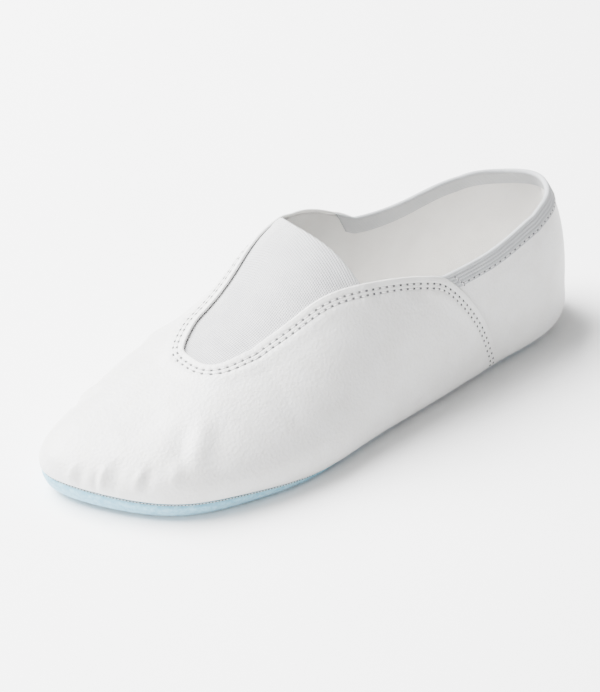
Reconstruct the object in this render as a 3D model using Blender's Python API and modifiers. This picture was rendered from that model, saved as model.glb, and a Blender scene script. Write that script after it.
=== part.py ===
"""A left gymnastics slipper: a soft leather upper, an elastic instep gusset and a thin suede sole.

The slipper is built round its last, the foot-shaped form that a maker works on. Ribs run up the last from the
seam with the sole, over its widest line, to a ridge along the instep. Every piece is a patch of that surface,
thickened away from the foot, so neighbours follow one another and meet a small gap apart.

Metres, +X to the toe, +Y to the outer side of the foot, +Z up. The origin is on the floor under the heel.
"""

from collections import namedtuple

import bmesh
import bpy
import numpy as np

# Driving sizes of the last
LAST_LENGTH = 0.2373
BALL_WIDTH = 0.0830
INSTEP_HEIGHT = 0.0745

# Leather, elastic and sole
VAMP_WALL = 0.0016
QUARTER_WALL = 0.0011
GUSSET_WALL = 0.0010
BAND_WALL = 0.0014
BAND_HEIGHT = 0.0070
SOLE_THICKNESS = 0.0022
INSOLE_THICKNESS = 0.0012
GAP = 0.0003

# Centres of the fans of ribs round the heel and round the toe, as shares of the length
HEEL_CENTRE = 0.126
TOE_CENTRE = 0.683

# Share of each rib that lies under the widest line, and how far its two halves bend out
UNDER_SHARE = 0.16
UNDER_BEND = 0.5

# The sole turns up at its rim over a run that grows with the height of the turn, and springs up at the toe
RUN_BASE = 0.0022
RUN_GAIN = 0.15
TOE_SPRING = 0.0022
SPRING_START = 0.84

# One row per rib, from the back of the heel along the outer side to the toe and back along the inner side.
# x is a percentage of the length; y and inset of the ball width; widest, arch and curl of the instep height.
# Side and top say how full the rib is above its widest line and below the ridge. Edge is the share of the rib
# that the leather covers.
Rib = namedtuple("Rib", "name x y widest inset arch curl side top edge")
RIBS = (
    Rib("heel back", 0.0, 0.0, 26, 7, -2, 0.5, 0.60, 0.78, 0.640),
    Rib("heel back outer", 4.0, 21.9, 26, 7, -2, 0.5, 0.48, 0.74, 0.640),
    Rib("heel outer", 12.6, 33.2, 24, 7, -2, 0.5, 0.52, 0.66, 0.585),
    Rib("quarter outer", 24.4, 36.1, 20, 6, -2, 0.5, 0.66, 0.58, 0.447),
    Rib("waist outer", 39.2, 41.9, 17, 6, -2, 0.5, 0.55, 0.52, 0.492),
    Rib("instep outer", 53.5, 47.3, 15, 5, -2, 0.8, 0.42, 0.50, 0.650),
    Rib("ball outer", 66.6, 52.4, 15, 3, -2, 1.8, 0.38, 0.50, 0.768),
    Rib("forefoot outer", 79.0, 48.3, 15, 2, -2, 4.8, 0.36, 0.50, 0.795),
    Rib("toe outer", 89.3, 36.0, 16, 1, -2, 7.0, 0.35, 0.50, 0.835),
    Rib("toe tip outer", 96.6, 11.5, 16, 1, -2, 8.0, 0.34, 0.50, 0.880),
    Rib("toe tip", 99.9, -14.6, 16, 1, -2, 8.0, 0.34, 0.50, 0.905),
    Rib("toe tip inner", 96.4, -28.6, 17, 2, -2, 7.0, 0.36, 0.50, 0.905),
    Rib("toe inner", 87.8, -38.6, 18, 3, -2, 5.5, 0.42, 0.50, 0.885),
    Rib("ball inner", 73.7, -47.4, 23, 6, -2, 2.5, 0.57, 0.50, 0.835),
    Rib("instep inner", 61.1, -44.6, 27, 9, 3, 0.8, 0.61, 0.50, 0.780),
    Rib("arch inner", 50.1, -37.3, 31, 12, 7, 0.5, 0.60, 0.50, 0.640),
    Rib("waist inner", 37.9, -32.5, 30, 10, 7, 0.5, 0.62, 0.55, 0.485),
    Rib("quarter inner", 24.4, -31.9, 26, 8, 2, 0.5, 0.64, 0.58, 0.447),
    Rib("heel inner", 12.6, -32.0, 26, 7, -2, 0.5, 0.52, 0.66, 0.585),
    Rib("heel back inner", 4.0, -21.6, 26, 7, -2, 0.5, 0.48, 0.74, 0.640),
)

# The ridge that the ribs rise to, from the heel to past the throat, in the same percentages.
# Behind the throat it only sets how the walls lean, because the collar is open there.
Ridge = namedtuple("Ridge", "name x y height arch")
RIDGE = (
    Ridge("heel", 12.6, 0.0, 98, -2),
    Ridge("quarter", 24.4, -2.0, 110, 2),
    Ridge("ankle", 38.8, -6.0, 116, 4),
    Ridge("throat", 52.7, -9.5, 100, 2),
    Ridge("gusset", 60.3, -8.5, 79, -1),
    Ridge("toe centre", 68.3, -7.5, 61, -2),
    Ridge("toes", 82.0, -9.5, 42, -2),
)

# Rib numbers where the vamp's rear edges meet the collar, and how they slant back on their way down
SEAM_OUTER = 3.72
SEAM_INNER = 16.28
SEAM_SLANT = 0.85
SEAM_CURVE = 1.7
SEAM_REACH = 2.4

# The collar dips to a notch where the vamp's shoulders rise from the band
NOTCH_DEPTH = 0.022
NOTCH_REACH = 0.75

# Where the gusset's top edge lies along the length, at its two corners and at the ridge
GUSSET_OUTER = 0.494
GUSSET_INNER = 0.505
GUSSET_TOP = 0.529

# Facets of each patch
SIDE_COLUMNS = 20
TOE_COLUMNS = 28
HEEL_COLUMNS = 18
UNDER_ROWS = 4
WALL_ROWS = 8
BAND_ROWS = 2
SOLE_ROWS = 5
TURN_ROWS = 3
GUSSET_COLUMNS = 8
GUSSET_FAN = 16
GUSSET_ROWS = 6

# Colours in linear light, with roughness
WHITE_LEATHER = ((0.80, 0.80, 0.79), 0.50)
WHITE_ELASTIC = ((0.82, 0.82, 0.82), 0.80)
WHITE_BINDING = ((0.78, 0.79, 0.81), 0.65)
BLUE_SUEDE = ((0.60, 0.78, 0.84), 0.90)
GREY_FELT = ((0.72, 0.71, 0.69), 0.95)


def cubic(values, closed):
    """Returns a smooth curve through the rows of values, read by row number."""
    count = len(values)
    system = 4.0 * np.eye(count) + np.eye(count, k=1) + np.eye(count, k=-1)
    before, after = np.roll(values, 1, axis=0), np.roll(values, -1, axis=0)
    bends = 6.0 * (before - 2.0 * values + after)
    if closed:
        system[0, -1] = system[-1, 0] = 1.0
    else:
        system[0] = np.eye(count)[0]
        system[-1] = np.eye(count)[-1]
        bends[0] = bends[-1] = 0.0
    curvature = np.linalg.solve(system, bends)

    def at(number):
        number = np.asarray(number, float)
        low = np.floor(number).astype(int)
        if not closed:
            low = np.clip(low, 0, count - 2)
        far = (number - low)[..., None]
        near = 1.0 - far
        low, high = low % count, (low + 1) % count
        straight = near * values[low] + far * values[high]
        return straight + ((near**3 - near) * curvature[low] + (far**3 - far) * curvature[high]) / 6.0

    return at


RIB_SCALE = np.array([LAST_LENGTH, BALL_WIDTH, INSTEP_HEIGHT, BALL_WIDTH] + 2 * [INSTEP_HEIGHT]) / 100.0
RIDGE_SCALE = np.array([LAST_LENGTH, BALL_WIDTH, INSTEP_HEIGHT, INSTEP_HEIGHT]) / 100.0
SAMPLES = 400
SHARE_STEP = 0.01
NUMBER_STEP = 0.001
OUTER_SIDE = (0, len(RIBS) / 2)
INNER_SIDE = (len(RIBS), len(RIBS) / 2)

rib_values = np.array([rib[1:] for rib in RIBS], float)
rib_values[:, : len(RIB_SCALE)] *= RIB_SCALE
ribs_at = cubic(rib_values, closed=True)

ridge_rows = np.array([ridge[1:] for ridge in RIDGE], float) * RIDGE_SCALE
ridge_line = cubic(ridge_rows, closed=False)(np.linspace(0, len(RIDGE) - 1, SAMPLES))


def bezier(a, b, c, d, share):
    """Returns the points of a cubic Bezier span at the given shares of its length."""
    rest = 1.0 - share
    return a * rest**3 + 3.0 * b * rest**2 * share + 3.0 * c * rest * share**2 + d * share**3


def ring_distance(number, mark):
    """Returns how far rib numbers lie from a mark, the shorter way round the ring."""
    half = len(RIBS) / 2.0
    return np.abs((number - mark + half) % len(RIBS) - half)


def toe_spring(x):
    """Returns the lift of the sole at the given lengths."""
    return TOE_SPRING * np.maximum((x / LAST_LENGTH - SPRING_START) / (1.0 - SPRING_START), 0.0) ** 2


class Section:
    """The upright planes of some ribs: their places on the ridge, outward directions and sizes."""

    def __init__(self, number):
        columns = np.moveaxis(ribs_at(number), -1, 0)
        x, y, self.widest, inset, arch, self.curl, self.side, self.top, top_edge = columns
        stations = ridge_line[:, 0]
        along = np.clip(x, HEEL_CENTRE * LAST_LENGTH, TOE_CENTRE * LAST_LENGTH)
        slope = np.interp(along, stations, np.gradient(ridge_line[:, 2], stations))
        self.centre_x = along
        self.centre_y = np.interp(along, stations, ridge_line[:, 1])
        self.ridge = np.interp(along, stations, ridge_line[:, 2])
        self.centre_arch = np.maximum(np.interp(along, stations, ridge_line[:, 3]), 0.0)
        self.reach = np.hypot(x - along, y - self.centre_y)
        self.out_x = (x - along) / self.reach
        self.out_y = (y - self.centre_y) / self.reach
        self.fall = slope * self.out_x
        self.foot = self.reach - inset
        self.arch = np.maximum(arch, 0.0)
        self.run = RUN_BASE + RUN_GAIN * self.curl
        near_seam = np.minimum(ring_distance(number, SEAM_OUTER), ring_distance(number, SEAM_INNER))
        self.edge = top_edge - NOTCH_DEPTH * np.maximum(1.0 - near_seam / NOTCH_REACH, 0.0) ** 2

    def place(self, distance, height):
        """Returns points at a distance out from the ridge and a height above the floor."""
        x = self.centre_x + distance * self.out_x
        y = self.centre_y + distance * self.out_y
        return np.stack([x, y, height], -1)

    def bottom(self, share):
        """Returns the height of the last's bottom: share 0 is its middle line, 1 the seam with the upper."""
        distance = share * self.foot
        turned = np.maximum((distance - self.foot + self.run) / self.run, 0.0)
        arch = self.centre_arch + (self.arch - self.centre_arch) * share**2
        spring = toe_spring(self.centre_x + distance * self.out_x)
        return SOLE_THICKNESS + arch + spring + self.curl * turned**2


def last_side(number, share):
    """Returns points on the last's side: share 0 is the seam with the sole, 1 the ridge."""
    rib = Section(number)
    seam = rib.bottom(1.0)
    rim_slope = 2.0 * rib.curl / rib.run
    bend = UNDER_BEND * np.hypot(rib.reach - rib.foot, rib.widest - seam) / np.hypot(1.0, rim_slope)
    low = np.clip(share / UNDER_SHARE, 0.0, 1.0)
    high = np.clip((share - UNDER_SHARE) / (1.0 - UNDER_SHARE), 0.0, 1.0)
    under = share < UNDER_SHARE
    distance = np.where(
        under,
        bezier(rib.foot, rib.foot + bend, rib.reach, rib.reach, low),
        bezier(rib.reach, rib.reach, rib.top * rib.reach, 0.0 * rib.reach, high),
    )
    below = rib.widest - UNDER_BEND * (rib.widest - seam)
    above = rib.widest + rib.side * (rib.ridge - rib.widest)
    shoulder = rib.ridge + rib.fall * rib.top * rib.reach
    height = np.where(
        under,
        bezier(seam, seam + bend * rim_slope, below, rib.widest, low),
        bezier(rib.widest, above, shoulder, rib.ridge, high),
    )
    return rib.place(distance, height)


def last_bottom(number, share):
    """Returns points on the last's bottom: share 0 is its middle line, 1 the seam with the upper."""
    rib = Section(number)
    return rib.place(share * rib.foot, rib.bottom(share))


def slanted(number, share):
    """Returns rib numbers slanted so that the seam columns follow the vamp's rear edge."""
    outer, inner = (
        0.5 + 0.5 * np.cos(np.pi * np.minimum(ring_distance(number, seam) / SEAM_REACH, 1.0))
        for seam in (SEAM_OUTER, SEAM_INNER)
    )
    return number + SEAM_SLANT * (inner - outer) * (1.0 - share**SEAM_CURVE)


def wall(number, share):
    """Returns points of the upper's inner face: share 0 is the seam with the sole, 1 the top edge."""
    number = slanted(number, share)
    return last_side(number, share * Section(number).edge)


def share_of(number, share, distance):
    """Returns how much of a rib's share a short distance along it takes up."""
    ends = last_side(number, share) - last_side(number, share - SHARE_STEP)
    return SHARE_STEP * distance / np.linalg.norm(ends, axis=-1)


def number_at(side, x):
    """Returns the rib numbers at the given lengths along the outer or the inner side."""
    numbers = np.linspace(side[0], side[1], SAMPLES)
    return np.interp(x, ribs_at(numbers)[:, 0], numbers)


def both_sides(outer_start, inner_start, columns, fan_columns):
    """Returns rib numbers along the outer side, round the toe and back along the inner side.

    Columns pair up across the ridge, so those that start level share their points there.
    """
    end = np.full_like(outer_start, TOE_CENTRE * LAST_LENGTH)
    outer = number_at(OUTER_SIDE, np.linspace(outer_start, end, columns + 1))
    inner = number_at(INNER_SIDE, np.linspace(end, inner_start, columns + 1))
    toe = np.linspace(outer[-1], inner[0], fan_columns + 1)[1:-1]
    return np.concatenate([outer, toe, inner])


def ring_numbers():
    """Returns the rib numbers of the columns all round the last."""
    heel_line = np.array(HEEL_CENTRE * LAST_LENGTH)
    sides = both_sides(heel_line, heel_line, SIDE_COLUMNS, TOE_COLUMNS)
    heel = np.linspace(sides[-1], sides[0] + len(RIBS), HEEL_COLUMNS + 1)[1:-1]
    return np.concatenate([sides, heel])


def upper_numbers():
    """Returns the ring's rib numbers with a pair of columns, a gap apart, at each rear edge of the vamp."""
    ring = ring_numbers()
    for seam in (SEAM_OUTER, SEAM_INNER):
        ends = wall(np.array([seam - NUMBER_STEP, seam + NUMBER_STEP]), np.ones(2))
        half = GAP * NUMBER_STEP / np.linalg.norm(ends[1] - ends[0])
        nearest = np.argmin(np.abs(ring - seam))
        ring = np.concatenate([ring[:nearest], [seam - half, seam + half], ring[nearest + 1 :]])
    return ring


def upper_shares(numbers):
    """Returns the shares of the upper's rows on each column, with two rows a gap apart under the band."""
    edge = Section(numbers).edge
    band = 1.0 - share_of(numbers, edge, BAND_HEIGHT) / edge
    below = 1.0 - share_of(numbers, edge, BAND_HEIGHT + GAP) / edge
    widest = UNDER_SHARE / edge
    under_rows = np.linspace(np.zeros_like(widest), widest, UNDER_ROWS + 1)[:-1]
    wall_rows = np.linspace(widest, below, WALL_ROWS + 1)
    band_rows = np.linspace(band, np.ones_like(band), BAND_ROWS + 1)
    return np.concatenate([under_rows, wall_rows, band_rows]).T


def panel(name, points, keep=None, weights=None):
    """Makes a patch from a grid of points by column and row.

    keep(column, row) picks the faces, and weights hold each point's part of the wall's thickness.
    """
    columns, rows = points.shape[:2]
    mesh = bmesh.new()
    bmesh.ops.create_grid(mesh, x_segments=rows - 1, y_segments=columns - 1)
    for vert, point in zip(mesh.verts, points.reshape(-1, 3)):
        vert.co = point
    if weights is not None:
        layer = mesh.verts.layers.deform.verify()
        for vert, weight in zip(mesh.verts, weights.ravel()):
            vert[layer][0] = weight
    if keep is not None:
        spare = [face for k, face in enumerate(mesh.faces) if not keep(*divmod(k, rows - 1))]
        bmesh.ops.delete(mesh, geom=spare, context="FACES")
    bmesh.ops.remove_doubles(mesh, verts=mesh.verts, dist=GAP / 10.0)
    data = bpy.data.meshes.new(name)
    mesh.to_mesh(data)
    mesh.free()
    data.shade_smooth()
    return bpy.data.objects.new(name, data)


def thicken(part, thickness, weighted=False):
    """Gives a patch its thickness along its normals, or against them where the thickness is negative."""
    solid = part.modifiers.new("Thickness", "SOLIDIFY")
    solid.thickness = abs(thickness)
    solid.offset = np.sign(thickness)
    solid.use_even_offset = True
    solid.use_quality_normals = True
    if weighted:
        solid.vertex_group = part.vertex_groups.new(name="Wall").name
    return part


def ringed(rows):
    """Returns the columns of a ring with its first column again at the end."""
    return np.concatenate([rows, rows[:1]])


def upper_and_band():
    """Makes the upper, with a step in its wall at the vamp's rear edges, and the band behind them."""
    numbers = upper_numbers()
    shares = upper_shares(numbers)
    points = ringed(wall(numbers[:, None], shares))
    behind = ringed((numbers < SEAM_OUTER) | (numbers > SEAM_INNER))
    weights = np.where(behind, QUARTER_WALL / VAMP_WALL, 1.0)[:, None] * np.ones(shares.shape[1])
    gap_row = UNDER_ROWS + WALL_ROWS

    def in_upper(column, row):
        return row < gap_row or not (behind[column] or behind[column + 1])

    def in_band(column, row):
        return row > gap_row and behind[column] and behind[column + 1]

    upper = thicken(panel("upper", points, in_upper, weights), VAMP_WALL, weighted=True)
    band = thicken(panel("collar_band", points, in_band), BAND_WALL)
    return upper, band


def instep_elastic():
    """Makes the gusset that fills the vamp's throat, bowed along its top edge."""
    rise = np.linspace(0.0, 1.0, GUSSET_ROWS + 1)
    outer_start = (GUSSET_OUTER + (GUSSET_TOP - GUSSET_OUTER) * rise) * LAST_LENGTH
    inner_start = (GUSSET_INNER + (GUSSET_TOP - GUSSET_INNER) * rise) * LAST_LENGTH
    numbers = both_sides(outer_start, inner_start, GUSSET_COLUMNS, GUSSET_FAN)
    edge = Section(numbers).edge
    low = edge + share_of(numbers, edge, GAP)
    return thicken(panel("instep_elastic", last_side(numbers, low + (1.0 - low) * rise)), GUSSET_WALL)


def flat_shares(numbers):
    """Returns the shares of the bottom's rows, from the middle line to where the sole starts to turn up."""
    rib = Section(numbers)
    return np.linspace(0.0, 1.0, SOLE_ROWS + 1) * (1.0 - rib.run / rib.foot)


def outsole():
    """Makes the suede sole, which stops a gap short of the upper."""
    numbers = ring_numbers()[:, None]
    rib = Section(numbers)
    turn = np.linspace(rib.run, np.full_like(rib.run, GAP), TURN_ROWS + 1, axis=1)[:, 1:, 0]
    shares = np.concatenate([flat_shares(numbers), 1.0 - turn / rib.foot], axis=1)
    return thicken(panel("outsole", ringed(last_bottom(numbers, shares))), SOLE_THICKNESS)


def insole():
    """Makes the thin sock that lies on the sole inside the shoe."""
    numbers = ring_numbers()[:, None]
    points = last_bottom(numbers, flat_shares(numbers)) + np.array([0.0, 0.0, GAP])
    return thicken(panel("insole", ringed(points)), -INSOLE_THICKNESS)


def dress(part, finish):
    """Gives a part its own plain material."""
    colour, roughness = finish
    material = bpy.data.materials.new(part.name)
    material.use_nodes = True
    shader = material.node_tree.nodes["Principled BSDF"]
    shader.inputs["Base Color"].default_value = (*colour, 1.0)
    shader.inputs["Roughness"].default_value = roughness
    part.data.materials.append(material)


def main():
    """Clears the scene and builds the shoe."""
    for old in list(bpy.data.objects):
        bpy.data.objects.remove(old)
    shoe = bpy.data.collections.new("gymnastics_shoe")
    bpy.context.scene.collection.children.link(shoe)
    floor_point = bpy.data.objects.new("under_heel", None)
    floor_point.location.x = -HEEL_CENTRE * LAST_LENGTH
    shoe.objects.link(floor_point)

    upper, band = upper_and_band()
    finishes = {
        outsole(): BLUE_SUEDE,
        insole(): GREY_FELT,
        upper: WHITE_LEATHER,
        instep_elastic(): WHITE_ELASTIC,
        band: WHITE_BINDING,
    }
    for part, finish in finishes.items():
        dress(part, finish)
        part.parent = floor_point
        shoe.objects.link(part)


main()
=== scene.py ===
"""A white leather gymnastics slipper for the left foot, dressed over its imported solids.

Every piece is a patch of the shoe's last, the foot-shaped form that a maker works on. A patch is a grid laid
over the last and lifted off it by the thickness of its leather, elastic or suede, with rounded edges, sewn
grooves and creases. Metres, +X to the toe, +Y to the outer side of the foot, +Z up, the origin on the floor
under the heel.
"""

from __future__ import annotations

import logging
import math
from dataclasses import dataclass, field
from enum import Enum
from typing import Callable, NamedTuple

import bmesh
import bpy
import numpy as np
from mathutils import Matrix, Vector, kdtree


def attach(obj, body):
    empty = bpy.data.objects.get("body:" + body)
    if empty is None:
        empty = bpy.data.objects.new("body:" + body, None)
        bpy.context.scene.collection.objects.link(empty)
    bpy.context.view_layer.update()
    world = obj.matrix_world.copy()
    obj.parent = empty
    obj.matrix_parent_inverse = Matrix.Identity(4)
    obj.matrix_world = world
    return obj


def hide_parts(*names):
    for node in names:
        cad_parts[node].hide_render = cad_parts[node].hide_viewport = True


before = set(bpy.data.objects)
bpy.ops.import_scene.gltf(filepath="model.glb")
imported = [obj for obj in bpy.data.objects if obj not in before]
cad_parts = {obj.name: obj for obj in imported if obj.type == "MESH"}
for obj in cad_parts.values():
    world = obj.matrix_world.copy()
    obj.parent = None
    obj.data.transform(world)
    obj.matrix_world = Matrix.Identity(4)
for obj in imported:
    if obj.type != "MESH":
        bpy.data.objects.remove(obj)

MM = 0.001
IMAGE_WIDTH = 600
SAME_POINT = 0.02 * MM
NO_EDGE = 0.005 * MM
LOG = logging.getLogger("gymnastics_shoe")

Array = np.ndarray
Surface = Callable[[Array, Array], Array]


class Body(Enum):
    """The one body that every piece rides on."""

    SHOE = "root"


class Slot(Enum):
    """The record's material slots."""

    LEATHER = "white_leather"
    ELASTIC = "white_elastic"
    BINDING = "white_binding"
    SUEDE = "blue_suede"


def to_linear(colour: str, alpha: float = 1.0) -> tuple[float, float, float, float]:
    """Turns an sRGB hex colour to linear light.

    Args:
        colour: Six hex digits after a hash.
        alpha: The fourth value.

    Returns:
        Red, green, blue and alpha.
    """
    channels = [int(colour[k : k + 2], 16) / 255.0 for k in (1, 3, 5)]
    linear = [c / 12.92 if c <= 0.04045 else ((c + 0.055) / 1.055) ** 2.4 for c in channels]
    return (*linear, alpha)


def add_node(tree: bpy.types.NodeTree, kind: str, settings: dict, inputs: dict) -> bpy.types.Node:
    """Adds a node, sets its options, and sets or links its inputs.

    Args:
        tree: The node tree that takes the node.
        kind: Blender's name for the node type.
        settings: Attributes of the node and their values.
        inputs: Input sockets by name or number, with a value or an output socket to link from.

    Returns:
        The new node.
    """
    node = tree.nodes.new(kind)
    for key, value in settings.items():
        setattr(node, key, value)
    for key, value in inputs.items():
        if isinstance(value, bpy.types.NodeSocket):
            tree.links.new(value, node.inputs[key])
        else:
            node.inputs[key].default_value = value
    return node


def add_noise(
    tree: bpy.types.NodeTree, where: bpy.types.Node, size_mm: float, detail: float, roughness: float = 0.5
) -> bpy.types.Node:
    """Adds a noise in the piece's own coordinates.

    Args:
        tree: The node tree that takes the noise.
        where: Its Texture Coordinate node.
        size_mm: The size of the noise's patches.
        detail: How many finer layers it has.
        roughness: How strong those layers are.

    Returns:
        The noise.
    """
    return add_node(tree, "ShaderNodeTexNoise", {}, {
        "Vector": where.outputs["Object"], "Scale": 1.0 / (size_mm * MM), "Detail": detail,
        "Roughness": roughness,
    })


def add_height(
    tree: bpy.types.NodeTree, base: bpy.types.NodeSocket, extra: bpy.types.NodeSocket, share: float
) -> bpy.types.NodeSocket:
    """Adds a share of one height to another.

    Args:
        tree: The node tree that takes the sum.
        base: The height that counts in full.
        extra: The height that is added.
        share: How much of it counts.

    Returns:
        The socket that gives the sum.
    """
    inputs = {0: extra, 1: share, 2: base}
    return add_node(tree, "ShaderNodeMath", {"operation": "MULTIPLY_ADD"}, inputs).outputs[0]


def smooth_step(low: float, high: float, value: Array) -> Array:
    """Eases from 0 at low to 1 at high."""
    share = np.clip((value - low) / (high - low), 0.0, 1.0)
    return share * share * (3.0 - 2.0 * share)


def bell(offset: Array, width: float) -> Array:
    """Returns a soft bump, 1 at no offset and nearly 0 at twice the width."""
    return np.exp(-((offset / width) ** 2))


def unit(vectors: Array) -> Array:
    """Scales vectors to a length of one."""
    return vectors / np.maximum(np.linalg.norm(vectors, axis=-1, keepdims=True), 1e-12)


def lengths_along(points: Array) -> Array:
    """Returns the length run so far at each point of a line."""
    steps = np.linalg.norm(np.diff(points, axis=0), axis=-1)
    return np.concatenate([[0.0], np.cumsum(steps)])


def runs_along(points: Array, axis: int) -> Array:
    """Returns the lengths run so far over a grid, from column to column (0) or from row to row (1)."""
    steps = np.diff(points, axis=axis, prepend=points.take([0], axis=axis))
    return np.cumsum(np.linalg.norm(steps, axis=-1), axis=axis)


def rounded(depth: Array, radius: float) -> Array:
    """Returns the half thickness of a rounded edge, as a share, at a depth in from the edge."""
    inside = np.clip(1.0 - depth / radius, 0.0, 1.0)
    return np.sqrt(1.0 - inside * inside)


def tree_of(points: Array) -> kdtree.KDTree:
    """Makes a search tree of points.

    Args:
        points: One point per row.

    Returns:
        The tree.
    """
    tree = kdtree.KDTree(len(points))
    for k, point in enumerate(points):
        tree.insert(point, k)
    tree.balance()
    return tree


def close_edges(outer: Array, inner: Array, *edges: int | tuple) -> None:
    """Brings the two heights of a shell together, halfway between them, along some of its edges."""
    for edge in edges:
        outer[edge] = inner[edge] = 0.5 * (outer[edge] + inner[edge])


def distances(points: Array, tree: kdtree.KDTree) -> Array:
    """Returns how far points of a grid lie from the nearest point in a tree."""
    found = [tree.find(point)[2] for point in points.reshape(-1, 3)]
    return np.array(found).reshape(points.shape[:-1])


class Rib(NamedTuple):
    """A rib of the last. x is a percentage of the length, y and inset of the ball width, and widest, arch and
    curl of the instep height. Side and top say how full it is, edge how much of it the leather covers."""

    name: str
    x: float
    y: float
    widest: float
    inset: float
    arch: float
    curl: float
    side: float
    top: float
    edge: float


class Ridge(NamedTuple):
    """A point of the ridge that the ribs rise to, in the same percentages."""

    name: str
    x: float
    y: float
    height: float
    arch: float


RIBS = (
    Rib("heel back", 0.0, 0.0, 26, 7, -2, 0.5, 0.60, 0.78, 0.640),
    Rib("heel back outer", 4.0, 21.9, 26, 7, -2, 0.5, 0.48, 0.74, 0.640),
    Rib("heel outer", 12.6, 33.2, 24, 7, -2, 0.5, 0.52, 0.66, 0.585),
    Rib("quarter outer", 24.4, 36.1, 20, 6, -2, 0.5, 0.66, 0.58, 0.447),
    Rib("waist outer", 39.2, 41.9, 17, 6, -2, 0.5, 0.55, 0.52, 0.498),
    Rib("instep outer", 53.5, 47.3, 15, 5, -2, 0.8, 0.42, 0.50, 0.656),
    Rib("ball outer", 66.6, 52.4, 15, 3, -2, 1.8, 0.38, 0.50, 0.792),
    Rib("forefoot outer", 79.0, 48.3, 15, 2, -2, 4.8, 0.36, 0.50, 0.809),
    Rib("toe outer", 89.3, 36.0, 16, 1, -2, 6.2, 0.35, 0.50, 0.835),
    Rib("toe tip outer", 96.6, 11.5, 16, 1, -2, 7.0, 0.34, 0.50, 0.880),
    Rib("toe tip", 99.9, -14.6, 16, 1, -2, 7.3, 0.34, 0.50, 0.902),
    Rib("toe tip inner", 96.4, -28.6, 17, 2, -2, 7.0, 0.36, 0.50, 0.897),
    Rib("toe inner", 87.8, -38.6, 18, 3, -2, 5.5, 0.42, 0.50, 0.884),
    Rib("ball inner", 73.7, -47.4, 23, 6, -2, 2.5, 0.57, 0.50, 0.854),
    Rib("instep inner", 61.1, -44.6, 27, 9, 3, 0.8, 0.61, 0.50, 0.805),
    Rib("arch inner", 50.1, -37.3, 31, 12, 7, 0.5, 0.60, 0.50, 0.697),
    Rib("waist inner", 37.9, -32.5, 30, 10, 7, 0.5, 0.62, 0.55, 0.485),
    Rib("quarter inner", 24.4, -31.9, 26, 8, 2, 0.5, 0.64, 0.58, 0.447),
    Rib("heel inner", 12.6, -32.0, 26, 7, -2, 0.5, 0.52, 0.66, 0.585),
    Rib("heel back inner", 4.0, -21.6, 26, 7, -2, 0.5, 0.48, 0.74, 0.640),
)

EDGE = Rib._fields.index("edge") - 1

RIDGE = (
    Ridge("heel", 12.6, 0.0, 98, -2),
    Ridge("quarter", 24.4, -2.0, 110, 2),
    Ridge("ankle", 38.8, -6.0, 116, 4),
    Ridge("throat", 52.7, -9.5, 100, 2),
    Ridge("gusset", 60.3, -8.5, 79, -1),
    Ridge("toe centre", 68.3, -7.5, 61, -2),
    Ridge("toes", 82.0, -9.5, 42, -2),
)


def cubic(values: Array, closed: bool) -> Callable[[Array], Array]:
    """Makes a smooth curve through the rows of values.

    Args:
        values: One row per point of the curve.
        closed: Whether the last row leads back to the first.

    Returns:
        A function from row numbers to values.
    """
    count = len(values)
    system = 4.0 * np.eye(count) + np.eye(count, k=1) + np.eye(count, k=-1)
    bends = 6.0 * (np.roll(values, 1, axis=0) - 2.0 * values + np.roll(values, -1, axis=0))
    if closed:
        system[0, -1] = system[-1, 0] = 1.0
    else:
        system[0], system[-1] = np.eye(count)[0], np.eye(count)[-1]
        bends[0] = bends[-1] = 0.0
    curvature = np.linalg.solve(system, bends)

    def at(number: Array) -> Array:
        """Reads the curve.

        Args:
            number: Row numbers, whole or between.

        Returns:
            The values there.
        """
        number = np.asarray(number, float)
        low = np.floor(number).astype(int)
        if not closed:
            low = np.clip(low, 0, count - 2)
        far = (number - low)[..., None]
        near = 1.0 - far
        low, high = low % count, (low + 1) % count
        straight = near * values[low] + far * values[high]
        return straight + ((near**3 - near) * curvature[low] + (far**3 - far) * curvature[high]) / 6.0

    return at


def bezier(a: Array, b: Array, c: Array, d: Array, share: Array) -> Array:
    """Returns the points of a cubic Bezier span at shares of its length."""
    rest = 1.0 - share
    return a * rest**3 + 3.0 * b * rest**2 * share + 3.0 * c * rest * share**2 + d * share**3


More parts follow.
